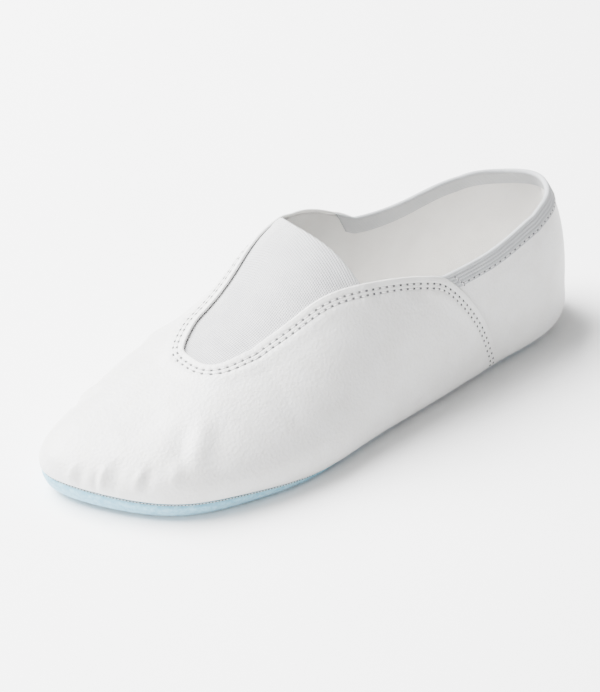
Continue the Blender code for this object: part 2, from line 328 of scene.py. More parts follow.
@dataclass
class Last:
    """The foot-shaped form that the shoe is built on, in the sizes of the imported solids."""

    length: float = 0.2373
    ball_width: float = 0.0830
    instep_height: float = 0.0745
    heel_centre: float = 0.126
    toe_centre: float = 0.683
    under_share: float = 0.16
    under_bend: float = 0.5
    run_base: float = 0.0022
    run_gain: float = 0.15
    toe_spring: float = 0.0022
    spring_start: float = 0.84
    sole: float = 0.0022
    seam_outer: float = 3.72
    seam_inner: float = 16.28
    seam_slant: float = 0.85
    seam_curve: float = 1.7
    seam_reach: float = 2.4
    notch_depth: float = 0.022
    notch_reach: float = 0.75
    samples: int = 400
    ribs_at: Callable[[Array], Array] = field(init=False)
    ridge_line: Array = field(init=False)

    def __post_init__(self) -> None:
        """Fits the smooth curves through the tables of ribs and ridge."""
        length, width, height = self.length / 100.0, self.ball_width / 100.0, self.instep_height / 100.0
        ribs = np.array([rib[1:] for rib in RIBS], float)
        sizes = np.array([length, width, height, width, height, height])
        ribs[:, : len(sizes)] *= sizes
        self.ribs_at = cubic(ribs, closed=True)
        ridge = np.array([point[1:] for point in RIDGE], float) * np.array([length, width, height, height])
        self.ridge_line = cubic(ridge, closed=False)(np.linspace(0, len(RIDGE) - 1, self.samples))

    def ring_distance(self, number: Array, mark: float) -> Array:
        """Returns how far rib numbers lie from a mark, the shorter way round the ring."""
        half = len(RIBS) / 2.0
        return np.abs((number - mark + half) % len(RIBS) - half)

    def edge(self, number: Array) -> Array:
        """Finds the upper's top edge, with its notch at each rear seam.

        Args:
            number: Rib numbers.

        Returns:
            The edge's shares of the ribs.
        """
        near = np.minimum(*(self.ring_distance(number, seam) for seam in (self.seam_outer, self.seam_inner)))
        notch = self.notch_depth * np.maximum(1.0 - near / self.notch_reach, 0.0) ** 2
        return self.ribs_at(number)[..., EDGE] - notch

    def section(self, number: Array) -> dict[str, Array]:
        """Measures the upright planes of some ribs.

        Args:
            number: Rib numbers.

        Returns:
            The planes' centres on the ridge, outward directions and sizes.
        """
        x, y, widest, inset, arch, curl, side, top, _ = np.moveaxis(self.ribs_at(number), -1, 0)
        stations = self.ridge_line[:, 0]
        along = np.clip(x, self.heel_centre * self.length, self.toe_centre * self.length)
        slope = np.interp(along, stations, np.gradient(self.ridge_line[:, 2], stations))
        centre_y, ridge, middle = (np.interp(along, stations, self.ridge_line[:, k]) for k in (1, 2, 3))
        reach = np.hypot(x - along, y - centre_y)
        out_x, out_y = (x - along) / reach, (y - centre_y) / reach
        return {
            "x": along, "y": centre_y, "ridge": ridge, "reach": reach, "out_x": out_x, "out_y": out_y,
            "widest": widest, "side": side, "top": top, "curl": curl, "fall": slope * out_x,
            "foot": reach - inset, "arch": np.maximum(arch, 0.0), "middle": np.maximum(middle, 0.0),
            "run": self.run_base + self.run_gain * curl,
        }

    def place(self, rib: dict[str, Array], distance: Array, height: Array) -> Array:
        """Returns points at a distance out from the ridge and a height above the floor."""
        x = rib["x"] + distance * rib["out_x"] - self.heel_centre * self.length
        return np.stack([x, rib["y"] + distance * rib["out_y"], height], -1)

    def bottom_height(self, rib: dict[str, Array], share: Array) -> Array:
        """Finds the height of the last's bottom, with its arch, toe spring and turned-up rim.

        Args:
            rib: The measures of some ribs.
            share: Shares of the way out, 0 at the middle line and 1 at the seam.

        Returns:
            The heights.
        """
        distance = share * rib["foot"]
        turned = np.maximum((distance - rib["foot"] + rib["run"]) / rib["run"], 0.0)
        sprung = (rib["x"] + distance * rib["out_x"]) / self.length - self.spring_start
        spring = self.toe_spring * np.maximum(sprung / (1.0 - self.spring_start), 0.0) ** 2
        arch = rib["middle"] + (rib["arch"] - rib["middle"]) * share**2
        return self.sole + arch + spring + rib["curl"] * turned**2

    def side(self, number: Array, share: Array) -> Array:
        """Finds points on the last's side.

        Args:
            number: Rib numbers.
            share: Shares of the ribs, 0 at the seam with the sole and 1 at the ridge.

        Returns:
            The points.
        """
        rib = self.section(number)
        reach, foot, widest, ridge = rib["reach"], rib["foot"], rib["widest"], rib["ridge"]
        seam = self.bottom_height(rib, np.ones_like(reach))
        rim_slope = 2.0 * rib["curl"] / rib["run"]
        bend = self.under_bend * np.hypot(reach - foot, widest - seam) / np.hypot(1.0, rim_slope)
        low = np.clip(share / self.under_share, 0.0, 1.0)
        high = np.clip((share - self.under_share) / (1.0 - self.under_share), 0.0, 1.0)
        under = share < self.under_share
        distance = np.where(
            under,
            bezier(foot, foot + bend, reach, reach, low),
            bezier(reach, reach, rib["top"] * reach, 0.0 * reach, high),
        )
        below = widest - self.under_bend * (widest - seam)
        above = widest + rib["side"] * (ridge - widest)
        shoulder = ridge + rib["fall"] * rib["top"] * reach
        height = np.where(
            under,
            bezier(seam, seam + bend * rim_slope, below, widest, low),
            bezier(widest, above, shoulder, ridge, high),
        )
        return self.place(rib, distance, height)

    def bottom(self, number: Array, share: Array) -> Array:
        """Finds points on the last's bottom, from its middle line at share 0 to the seam at 1."""
        rib = self.section(number)
        return self.place(rib, share * rib["foot"], self.bottom_height(rib, share))

    def along_ridge(self, x: Array) -> Array:
        """Returns the length run along the ridge to lengths of the last."""
        return np.interp(x, self.ridge_line[:, 0], lengths_along(self.ridge_line[:, [0, 2]]))

    def slanted(self, number: Array, share: Array) -> Array:
        """Slants rib numbers so that the seam columns follow the vamp's rear edge.

        Args:
            number: Rib numbers at the top edge.
            share: Shares of the way up to the edge.

        Returns:
            The rib numbers there.
        """
        outer, inner = (
            0.5 + 0.5 * np.cos(np.pi * np.minimum(self.ring_distance(number, seam) / self.seam_reach, 1.0))
            for seam in (self.seam_outer, self.seam_inner)
        )
        return number + self.seam_slant * (inner - outer) * (1.0 - share**self.seam_curve)

    def wall(self, number: Array, share: Array) -> Array:
        """Finds points on the upper's inner face, from the sole's seam at share 0 to the top edge at 1."""
        number = self.slanted(number, share)
        return self.side(number, share * self.edge(number))

    def share_of(self, number: Array, share: Array, distance: float) -> Array:
        """Turns a short distance down a rib into a share of it.

        Args:
            number: Rib numbers.
            share: Shares where the distance starts.
            distance: The distance.

        Returns:
            The shares that it takes up.
        """
        step = 0.01
        ends = self.side(number, share) - self.side(number, share - step)
        return step * distance / np.linalg.norm(ends, axis=-1)

    def both_sides(self, outer: Array, inner: Array, columns: int, fan: int) -> Array:
        """Lists rib numbers along the outer side, round the toe and back along the inner side.

        Args:
            outer: Lengths where the outer side starts.
            inner: Lengths where the inner side ends.
            columns: Columns along each side.
            fan: Columns round the toe.

        Returns:
            The rib numbers. Columns pair up across the ridge.
        """
        half = len(RIBS) / 2.0
        end = np.full_like(outer, self.toe_centre * self.length)
        sides = []
        for start, stop, first in ((outer, end, 0.0), (end, inner, 2.0 * half)):
            numbers = np.linspace(first, half, self.samples)
            stations = np.linspace(start, stop, columns + 1)
            sides.append(np.interp(stations, self.ribs_at(numbers)[:, 0], numbers))
        toe = np.linspace(sides[0][-1], sides[1][0], fan + 1)[1:-1]
        return np.concatenate([sides[0], toe, sides[1]])

    def round_heel(self, overlap: float, columns: int) -> Array:
        """Lists rib numbers round the heel, from rear seam to rear seam and on past both by an overlap."""
        return np.linspace(self.seam_inner - overlap, self.seam_outer + len(RIBS) + overlap, columns)

    def ring(self, columns: int, toe: int, heel: int) -> Array:
        """Lists the rib numbers of columns all round the last.

        Args:
            columns: Columns along each side.
            toe: Columns round the toe.
            heel: Columns round the heel.

        Returns:
            The rib numbers, with the first column again at the end.
        """
        line = np.array(self.heel_centre * self.length)
        sides = self.both_sides(line, line, columns, toe)
        back = np.linspace(sides[-1], sides[0] + len(RIBS), heel + 1)[1:]
        return np.concatenate([sides, back])


@dataclass
class Patch:
    """A grid of points on the last, by column and row, with its outward directions."""

    points: Array
    normals: Array

    @classmethod
    def lay(
        cls, surface: Surface, numbers: Array, shares: Array, top: float = 0.995, low: float = 0.0
    ) -> Patch:
        """Lays a grid on a surface of the last.

        Args:
            surface: The side, wall or bottom of the last.
            numbers: Rib numbers by column and row.
            shares: Shares by column and row.
            top: The highest share whose direction is read, where ribs meet in one point.
            low: The lowest such share.

        Returns:
            The patch.
        """
        share_step, rib_step = 1e-3, 4e-3
        numbers, shares = np.broadcast_arrays(numbers, shares)
        read = np.clip(shares, low, top)
        above, below = np.minimum(read + share_step, 1.0), np.maximum(read - share_step, 0.0)
        across = surface(numbers, above) - surface(numbers, below)
        along = surface(numbers + rib_step, read) - surface(numbers - rib_step, read)
        return cls(surface(numbers, shares), unit(np.cross(across, along)))

    def lifted(self, height: Array) -> Array:
        """Returns the patch's points, each moved outward by its height."""
        return self.points + self.normals * np.asarray(height)[..., None]

    def shell(self, name: str, outer: Array, inner: Array, chart: Array | None = None) -> bpy.types.Object:
        """Makes a closed shell between two heights over the patch.

        Args:
            name: The piece's name.
            outer: Heights of its outer face, by column and row.
            inner: Heights of its inner face, equal to the outer ones where an edge closes.
            chart: The cloth's map in metres, or none for lengths along the grid.

        Returns:
            The piece. Its faces take the first material outside and the second inside.
        """
        faces = [self.lifted(height) for height in (outer, inner)]
        rows = np.concatenate([faces[0], faces[1][:, ::-1], faces[0][:, :1]], axis=1)
        columns, count = rows.shape[:2]
        turn = faces[0].shape[1]
        if chart is None:
            chart = np.stack([runs_along(self.points, 0), runs_along(self.points, 1)], -1)
        mesh = bmesh.new()
        bmesh.ops.create_grid(mesh, x_segments=count - 1, y_segments=columns - 1)
        uv = mesh.loops.layers.uv.new("Metres")
        flat = np.concatenate([chart, chart[:, ::-1], chart[:, :1]], axis=1).reshape(-1, 2)
        for face in mesh.faces:
            face.smooth = True
            for loop in face.loops:
                loop[uv].uv = flat[loop.vert.index]
        for vert, point in zip(mesh.verts, rows.reshape(-1, 3)):
            vert.co = point
        for k, face in enumerate(mesh.faces):
            face.material_index = int(k % (count - 1) >= turn)
        bmesh.ops.remove_doubles(mesh, verts=mesh.verts, dist=SAME_POINT)
        bmesh.ops.dissolve_degenerate(mesh, edges=mesh.edges, dist=NO_EDGE)
        # Where two sides of a patch meet on its middle line, the wall between them goes
        between = [face for face in mesh.faces if sum(len(edge.link_faces) > 2 for edge in face.edges) > 1]
        bmesh.ops.delete(mesh, geom=between, context="FACES")
        if mesh.calc_volume(signed=True) < 0.0:
            bmesh.ops.reverse_faces(mesh, faces=mesh.faces)
        return as_object(mesh, name)


def as_object(mesh: bmesh.types.BMesh, name: str) -> bpy.types.Object:
    """Turns a bmesh into a linked object, and frees it.

    Args:
        mesh: The bmesh.
        name: The name of the object and its mesh.

    Returns:
        The object.
    """
    data = bpy.data.meshes.new(name)
    mesh.to_mesh(data)
    mesh.free()
    piece = bpy.data.objects.new(name, data)
    bpy.context.scene.collection.objects.link(piece)
    return piece


def settle(piece: bpy.types.Object, slot: Slot, *finishes: Finish) -> bpy.types.Object:
    """Dresses a piece, sets it on the shoe's body and reports it.

    Args:
        piece: The piece.
        slot: The record's slot for its finish; not used.
        finishes: Its materials in order.

    Returns:
        The same piece.
    """
    for finish in finishes:
        piece.data.materials.append(finish.material())
    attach(piece, Body.SHOE.value)
    LOG.info("%s: %d faces", piece.name, len(piece.data.polygons))
    return piece


@dataclass(frozen=True)
class Finish:
    """A surface with a colour that drifts between two shades, a roughness and a fine relief."""

    name: str
    colour: str
    shade: str
    roughness: float
    drift_mm: float
    relief_mm: float
    gloss_swing: float = 0.06
    noise_mm: float = 0.6

    def material(self) -> bpy.types.Material:
        """Makes the finish's material, once.

        Returns:
            The material.
        """
        found = bpy.data.materials.get(self.name)
        if found is not None:
            return found
        material = bpy.data.materials.new(self.name)
        material.use_nodes = True
        tree = material.node_tree
        shader = tree.nodes["Principled BSDF"]
        where = add_node(tree, "ShaderNodeTexCoord", {}, {})
        drift = add_noise(tree, where, self.drift_mm, detail=3.0, roughness=0.55)
        spread = add_node(tree, "ShaderNodeMapRange", {}, {
            "Value": drift.outputs[0], "From Min": 0.35, "From Max": 0.65,
        })
        tint = add_node(tree, "ShaderNodeMix", {"data_type": "RGBA"}, {
            0: spread.outputs[0], 6: to_linear(self.colour), 7: to_linear(self.shade),
        })
        height = self.relief(tree, where)
        bump = add_node(tree, "ShaderNodeBump", {}, {
            "Height": height, "Strength": 1.0, "Distance": self.relief_mm * MM,
        })
        gloss = add_node(tree, "ShaderNodeMapRange", {}, {
            "Value": height, "To Min": self.roughness + self.gloss_swing,
            "To Max": self.roughness - self.gloss_swing,
        })
        tree.links.new(tint.outputs[2], shader.inputs["Base Color"])
        tree.links.new(gloss.outputs[0], shader.inputs["Roughness"])
        tree.links.new(bump.outputs[0], shader.inputs["Normal"])
        for name, value in self.polish().items():
            shader.inputs[name].default_value = value
        return material

    def relief(self, tree: bpy.types.NodeTree, where: bpy.types.Node) -> bpy.types.NodeSocket:
        """Adds the height pattern of the surface: a plain fine noise.

        Args:
            tree: The material's node tree.
            where: Its Texture Coordinate node.

        Returns:
            The socket that gives the height.
        """
        return add_noise(tree, where, self.noise_mm, detail=2.0).outputs[0]

    def polish(self) -> dict[str, float]:
        """Returns the shader's own values: a plain index."""
        return {"IOR": 1.46}


@dataclass(frozen=True)
class SmoothLeather(Finish):
    """Pigmented smooth leather: small soft pebbles under a thin satin finish."""

    grain_mm: float = 1.3
    bend_mm: float = 1.2
    bend_patch_mm: float = 3.0
    pore_mm: float = 0.5
    pore_share: float = 0.5

    def relief(self, tree: bpy.types.NodeTree, where: bpy.types.Node) -> bpy.types.NodeSocket:
        """Adds pebbled cells with fine pores, drawn a little coarse so that they show.

        Args:
            tree: The material's node tree.
            where: Its Texture Coordinate node.

        Returns:
            The socket that gives the height.
        """
        warp = add_noise(tree, where, self.bend_patch_mm, detail=2.0)
        bent = add_node(tree, "ShaderNodeVectorMath", {"operation": "MULTIPLY_ADD"}, {
            0: warp.outputs["Color"], 1: (self.bend_mm * MM,) * 3, 2: where.outputs["Object"],
        })
        cells = add_node(tree, "ShaderNodeTexVoronoi", {"feature": "SMOOTH_F1"}, {
            "Vector": bent.outputs[0], "Scale": 1.0 / (self.grain_mm * MM), "Smoothness": 0.6,
        })
        pores = add_noise(tree, where, self.pore_mm, detail=2.0)
        return add_height(tree, cells.outputs["Distance"], pores.outputs[0], self.pore_share)

    def polish(self) -> dict[str, float]:
        """Returns the shader's own values: a thin satin coat."""
        return {"IOR": 1.48, "Coat Weight": 0.10, "Coat Roughness": 0.42}


@dataclass(frozen=True)
class RibbedCloth(Finish):
    """Woven cloth: cords side by side, crossed by finer threads."""

    cord_mm: float = 1.0
    thread_mm: float = 0.6
    thread_share: float = 0.45

    def relief(self, tree: bpy.types.NodeTree, where: bpy.types.Node) -> bpy.types.NodeSocket:
        """Adds cords along the cloth's length crossed by threads, from the piece's own map in metres.

        Args:
            tree: The material's node tree.
            where: Its Texture Coordinate node.

        Returns:
            The socket that gives the height.
        """
        heights = []
        for direction, spacing in (("X", self.cord_mm), ("Y", self.thread_mm)):
            wave = add_node(tree, "ShaderNodeTexWave", {"bands_direction": direction}, {
                "Vector": where.outputs["UV"], "Scale": math.pi / 10.0 / (spacing * MM), "Distortion": 0.4,
                "Detail": 1.0, "Detail Scale": 2.0,
            })
            heights.append(wave.outputs["Fac"])
        return add_height(tree, *heights, self.thread_share)

    def polish(self) -> dict[str, float]:
        """Returns the shader's own values: a faint sheen of yarn."""
        return {"IOR": 1.5, "Sheen Weight": 0.15, "Sheen Roughness": 0.5}


@dataclass(frozen=True)
class Nap(Finish):
    """Brushed suede or felt: short fibres that lie in patches."""

    fibre_mm: float = 0.5
    patch_mm: float = 5.0
    patch_share: float = 0.8

    def relief(self, tree: bpy.types.NodeTree, where: bpy.types.Node) -> bpy.types.NodeSocket:
        """Adds fibres with the lie of the nap over them.

        Args:
            tree: The material's node tree.
            where: Its Texture Coordinate node.

        Returns:
            The socket that gives the height.
        """
        fibres = add_noise(tree, where, self.fibre_mm, detail=4.0, roughness=0.7)
        lie = add_noise(tree, where, self.patch_mm, detail=2.0)
        return add_height(tree, fibres.outputs[0], lie.outputs[0], self.patch_share)

    def polish(self) -> dict[str, float]:
        """Returns the shader's own values: a soft bloom of fibres."""
        return {"IOR": 1.4, "Sheen Weight": 0.3, "Sheen Roughness": 0.6}


# Smooth white sheepskin with a satin finish: nearly even, a little warmer in broad patches
LEATHER = SmoothLeather("smooth_white_leather", "#d7d7d6", "#d1d0ce", 0.46, 9.0, 0.14)
# Unbleached cotton twill glued inside the leather: matt, with a fine weave
LINING = RibbedCloth(
    "cotton_twill_lining", "#f3f2ef", "#edebe8", 0.92, 14.0, 0.10, cord_mm=0.9, thread_mm=0.9
)
# Woven rubber-cored elastic: bright white cords with a fine cross thread
ELASTIC = RibbedCloth(
    "woven_white_elastic", "#c1c1c2", "#b8b8ba", 0.80, 9.0, 0.26, cord_mm=1.0, thread_mm=0.8
)
# Folded polyester binding: cool white, closely ribbed along its length; its colour is greyed as painted shade
# for the shaded collar
BINDING = RibbedCloth("polyester_binding_with_painted_shade", "#a6a8aa", "#9ea0a3", 0.66, 12.0, 0.06, cord_mm=1.4, thread_mm=0.5)
# Split suede, dyed pale blue: matt, cloudy where the nap lies both ways
SUEDE = Nap("pale_blue_suede", "#8abfd2", "#67a4bd", 0.90, 1.7, 0.20, fibre_mm=0.45, patch_mm=4.0)
# Pressed wool felt: off-white, dead matt
FELT = Nap("wool_felt", "#eceae6", "#e7e5e0", 0.95, 9.0, 0.08, fibre_mm=0.8, patch_mm=3.0)
# Twisted polyester thread: white with a faint lustre
THREAD = RibbedCloth("polyester_thread", "#dadad9", "#cecdcc", 0.55, 5.0, 0.02, cord_mm=0.4, thread_mm=0.4)
# The painted shade inside a needle hole: a dark grey lens laid on the surface
HOLE_SHADE = Finish("needle_hole_shadow", "#646465", "#545455", 0.95, 3.0, 0.05)
# Painted studio floor: pale and matt
FLOOR = Finish("painted_studio_floor", "#fbfbfb", "#f8f8f8", 0.80, 300.0, 0.01)


class Crease(NamedTuple):
    """A soft trough, or a ridge where its depth is negative, along a line on the last."""

    name: str
    from_rib: float
    from_share: float
    to_rib: float
    to_share: float
    width_mm: float
    depth_mm: float


CREASES = (
    Crease("toe tip ridge", 9.47, 0.29, 9.47, 0.13, 1.3, -0.60),
    Crease("toe tip pleat", 9.32, 0.30, 9.29, 0.10, 1.8, 0.80),
    Crease("short pleat", 9.10, 0.27, 9.07, 0.12, 1.0, 0.75),
    Crease("second ridge", 9.02, 0.33, 8.98, 0.13, 1.4, -0.80),
    Crease("broad pleat", 8.84, 0.38, 8.78, 0.13, 2.8, 1.00),
    Crease("third ridge", 8.47, 0.34, 8.56, 0.15, 1.6, -0.75),
    Crease("third pleat", 8.35, 0.36, 8.40, 0.16, 2.2, 0.80),
    Crease("fourth ridge", 7.99, 0.40, 8.06, 0.19, 2.6, -0.65),
    Crease("little toe hollow", 7.93, 0.32, 8.05, 0.58, 4.0, 0.80),
    Crease("little toe ridge", 7.64, 0.60, 7.84, 0.30, 4.2, -0.90),
    Crease("forefoot hollow", 7.32, 0.58, 7.50, 0.28, 5.5, 0.70),
    Crease("top hollow", 8.70, 0.66, 9.00, 0.48, 6.5, 0.55),
    Crease("inner toe fold", 11.55, 0.55, 11.95, 0.12, 2.6, 1.00),
    Crease("inner toe ridge", 11.75, 0.55, 12.20, 0.14, 3.0, -0.80),
    Crease("joint fold", 12.60, 0.52, 13.30, 0.22, 4.0, 0.95),
    Crease("joint ridge", 12.90, 0.52, 13.55, 0.26, 4.0, -0.75),
    Crease("low arch fold", 13.70, 0.20, 15.70, 0.10, 2.4, 1.15),
    Crease("low arch ridge", 13.70, 0.27, 15.60, 0.17, 2.6, -1.00),
    Crease("high arch fold", 13.60, 0.34, 15.30, 0.25, 2.8, 1.15),
    Crease("high arch ridge", 13.90, 0.41, 15.20, 0.33, 3.0, -0.90),
)


@dataclass
class VampEdge:
    """The vamp's free edge, up one rear seam, round the throat and down the other."""

    last: Last
    spacing: float = 0.75 * MM
    rounding: float = 5.6 * MM
    rounding_reach: float = 12.0 * MM
    rim_share: float = 0.2
    seam_samples: int = 120
    top_samples: int = 900
    fine: int = 8
    numbers: Array = field(init=False)
    shares: Array = field(init=False)
    points: Array = field(init=False)
    tree: kdtree.KDTree = field(init=False)

    def __post_init__(self) -> None:
        """Follows the solids' rear and top edges, rounds the shoulders and evens the spacing."""
        last = self.last
        rise = np.linspace(0.0, 1.0, self.seam_samples)
        outer = last.slanted(np.full_like(rise, last.seam_outer), rise)
        inner = last.slanted(np.full_like(rise, last.seam_inner), rise)[::-1]
        top = np.linspace(last.seam_outer, last.seam_inner, self.top_samples)[1:-1]
        numbers = np.concatenate([outer, top, inner])
        shares = np.concatenate([rise * last.edge(outer), last.edge(top), rise[::-1] * last.edge(inner)])
        run = lengths_along(last.side(numbers, shares))
        count = int(run[-1] / self.spacing)
        even = np.linspace(0.0, run[-1], count)
        reach = int(self.rounding_reach / self.spacing)
        window = bell(np.arange(-reach, reach + 1) * self.spacing, self.rounding)
        window /= window.sum()
        line = []
        for values in (numbers, shares):
            values = np.interp(even, run, values)
            ends = 2.0 * values[0] - values[reach:0:-1], 2.0 * values[-1] - values[-2 : -reach - 2 : -1]
            line.append(np.convolve(np.concatenate([ends[0], values, ends[1]]), window, "valid"))
        self.spread(line[0], np.maximum(line[1], 0.0))
        self.points = last.side(self.numbers, self.shares)
        count = len(self.numbers)
        steps = np.linspace(0, count - 1, self.fine * count)
        dense = [np.interp(steps, np.arange(count), self.points[:, k]) for k in range(3)]
        self.tree = tree_of(np.stack(dense, -1))

    def spread(self, numbers: Array, shares: Array) -> None:
        """Adds points where the columns below them fan out, so that the toe's creases have enough columns.

        Args:
            numbers: Rib numbers at even steps along the edge.
            shares: Shares of the ribs there.
        """
        rim = lengths_along(self.last.side(numbers, np.full_like(numbers, self.rim_share)))
        top = lengths_along(self.last.side(numbers, shares))
        run = np.concatenate([[0.0], np.cumsum(np.maximum(np.diff(rim), np.diff(top)))])
        at = np.linspace(0.0, run[-1], int(run[-1] / self.spacing))
        self.numbers, self.shares = np.interp(at, run, numbers), np.interp(at, run, shares)

    def inset(self, depth: float) -> tuple[Array, Array]:
        """Walks in from the edge, square to it.

        Args:
            depth: How far to walk, negative to walk out.

        Returns:
            Rib numbers and shares of the line at that depth.
        """
        side, small, walks = self.last.side, 1e-3, 6
        number, share = self.numbers.copy(), self.shares.copy()
        tangent = unit(np.gradient(self.points, axis=0))
        for _ in range(walks):
            low, high = np.maximum(share - small, 0.0), share + small
            by_number = (side(number + small, share) - side(number - small, share)) / (2 * small)
            by_share = (side(number, high) - side(number, low)) / (high - low)[:, None]
            inward = np.cross(unit(np.cross(by_share, by_number)), tangent) * depth / walks
            pairs = (
                (by_number, by_number), (by_number, by_share), (by_share, by_share),
                (by_number, inward), (by_share, inward),
            )
            a, b, c, d, e = (np.sum(p * q, -1) for p, q in pairs)
            bottom = a * c - b * b
            number = number + (c * d - b * e) / bottom
            share = np.maximum(share + (a * e - b * d) / bottom, 0.0)
        return number, share


@dataclass
class Vamp:
    """The white leather front of the upper, with a lapped edge, two sewn grooves and creases."""

    last: Last
    edge: VampEdge
    wall: float = 1.6 * MM
    edge_wall: float = 1.1 * MM
    lap: float = 1.0 * MM
    sole_lap: float = 0.15
    sole_share: float = 0.2
    open_lap: float = 0.5 * MM
    open_ribs: tuple[float, float, float, float] = (9.6, 10.6, 14.2, 15.0)
    lap_from: float = 5.5 * MM
    lap_to: float = 11.0 * MM
    stitch_rows: tuple[float, float] = (2.8 * MM, 4.5 * MM)
    groove: float = 0.24 * MM
    groove_width: float = 0.6 * MM
    tuck: float = 1.7 * MM
    tuck_share: float = 0.85
    turn_rib: float = 5.2
    humps: tuple[tuple[float, float, float], ...] = ((4.32, 0.22, 0.42), (15.52, 0.36, 0.56))
    hump_share: float = 0.95
    edge_rows_mm: tuple[float, ...] = (
        0.0, 0.03, 0.1, 0.2, 0.33, 0.48, 0.65, 0.9, 1.2, 1.6, 2.0, 2.45, 2.8, 3.15, 3.65, 4.15, 4.5, 4.85,
    )
    tuck_rows_mm: tuple[float, ...] = (2.0, 1.5, 1.1, 0.8, 0.55, 0.35, 0.2, 0.1, 0.03, 0.0)
    room_share: float = 1.2
    middle_rows: int = 44
    down_samples: int = 120
    crease_samples: int = 64
    crease_fade: float = 0.7
    dimple: float = 0.22 * MM
    dimple_width: float = 0.7 * MM

    def lap_height(self, depth: Array, number: Array, share: Array) -> Array:
        """Finds how far the layer under the edge lifts the leather.

        Args:
            depth: Distances in from the edge.
            number: Rib numbers.
            share: Shares of the ribs.

        Returns:
            The lifts: less near the sole, nearly none on the humps between gusset and quarter, and more on
            the inner side of the throat, where the edge stands open.
        """
        near_sole = self.sole_lap + (1.0 - self.sole_lap) * smooth_step(0.0, self.sole_share, share)
        first, full, end, shut = self.open_ribs
        standing = smooth_step(first, full, number) * (1.0 - smooth_step(end, shut, number))
        gaps = ((np.abs(number - middle), flat, reach) for middle, flat, reach in self.humps)
        bare = sum(1.0 - smooth_step(flat, reach, gap) for gap, flat, reach in gaps)
        lift = self.lap * near_sole * (1.0 - self.hump_share * bare) + self.open_lap * standing
        return lift * (1.0 - smooth_step(self.lap_from, self.lap_to, depth))

    def outer_height(self, depth: Array, number: Array, share: Array) -> Array:
        """Finds the height of the leather's face over the last, without its creases.

        Args:
            depth: Distances in from the edge.
            number: Rib numbers.
            share: Shares of the ribs.

        Returns:
            The heights.
        """
        thick = self.edge_wall + (self.wall - self.edge_wall) * smooth_step(self.lap_from, self.lap_to, depth)
        half = 0.5 * thick
        sewn = sum(bell(depth - row, self.groove_width) for row in self.stitch_rows)
        face = half + half * rounded(depth, 0.5 * self.edge_wall) - self.groove * sewn
        return self.lap_height(depth, number, share) + face

    def inner_height(self, depth: Array, number: Array, share: Array) -> Array:
        """Returns the height of the leather's back over the last."""
        half = 0.5 * self.edge_wall
        return self.lap_height(depth, number, share) + half * (1.0 - rounded(depth, half))

    def grid(self) -> tuple[Array, Array, Array]:
        """Lays columns from the free edge to the seam with the sole.

        Returns:
            Rib numbers and shares by column and row, and the distances up from the seam.
        """
        start, count = self.edge.numbers, len(self.edge.numbers)
        far = len(RIBS) - self.turn_rib
        first, second = np.searchsorted(start, self.turn_rib), np.searchsorted(start, far)
        foot = start.copy()
        foot[:first] = np.linspace(start[0], self.turn_rib, first, endpoint=False)
        foot[second:] = np.linspace(far, start[-1], count - second)
        down = np.linspace(0.0, 1.0, self.down_samples)
        numbers = start[:, None] + (foot - start)[:, None] * down
        shares = self.edge.shares[:, None] * (1.0 - down)
        run = runs_along(self.last.side(numbers, shares), 1)
        close, tuck = np.array(self.edge_rows_mm) * MM, np.array(self.tuck_rows_mm) * MM
        room = self.room_share * (close[-1] + tuck[0])
        columns = []
        for column in range(count):
            total = run[column, -1]
            scale = min(1.0, total / room)
            middle = np.linspace(close[-1] * scale, total - tuck[0] * scale, self.middle_rows + 2)[1:-1]
            rows = np.concatenate([close * scale, middle, total - tuck * scale])
            even = np.linspace(0.0, 1.0, len(rows))
            columns.append(np.interp(rows, run[column], down) if total > 0.0 else even)
        steps = np.array(columns)
        numbers = start[:, None] + (foot - start)[:, None] * steps
        shares = self.edge.shares[:, None] * (1.0 - steps)
        up = run[:, -1:] - np.array([np.interp(steps[k], down, run[k]) for k in range(count)])
        return numbers, shares, up

    def creased(self, points: Array) -> Array:
        """Finds how deep the listed creases are.

        Args:
            points: Points on the last, by column and row.

        Returns:
            The depths there.
        """
        total = np.zeros(points.shape[:-1])
        for crease in CREASES:
            share = np.linspace(0.0, 1.0, self.crease_samples)
            line = self.last.side(
                crease.from_rib + (crease.to_rib - crease.from_rib) * share,
                crease.from_share + (crease.to_share - crease.from_share) * share,
            )
            offsets = np.linalg.norm(points[..., None, :] - line, axis=-1)
            nearest = offsets.argmin(-1)
            fade = np.sin(np.pi * share) ** self.crease_fade
            total += crease.depth_mm * MM * fade[nearest] * bell(offsets.min(-1), crease.width_mm * MM)
        return total

    def build(self, holes: Array) -> bpy.types.Object:
        """Makes the vamp in place of the upper's solid.

        Args:
            holes: Places of the needle holes, which draw the leather in.

        Returns:
            The vamp.
        """
        numbers, shares, up = self.grid()
        patch = Patch.lay(self.last.side, numbers, shares)
        depth = distances(patch.points, self.edge.tree)
        tucked = 1.0 - self.tuck_share * (1.0 - rounded(up, self.tuck))
        face = self.outer_height(depth, numbers, shares)
        pulled = distances(patch.lifted(face), tree_of(holes))
        outer = face * tucked - self.creased(patch.points) - self.dimple * bell(pulled, self.dimple_width)
        inner = np.minimum(self.inner_height(depth, numbers, shares), outer)
        close_edges(outer, inner, np.s_[:, 0], 0, -1)
        vamp = patch.shell("vamp", outer, inner)
        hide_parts("upper")
        return settle(vamp, Slot.LEATHER, LEATHER, LINING)


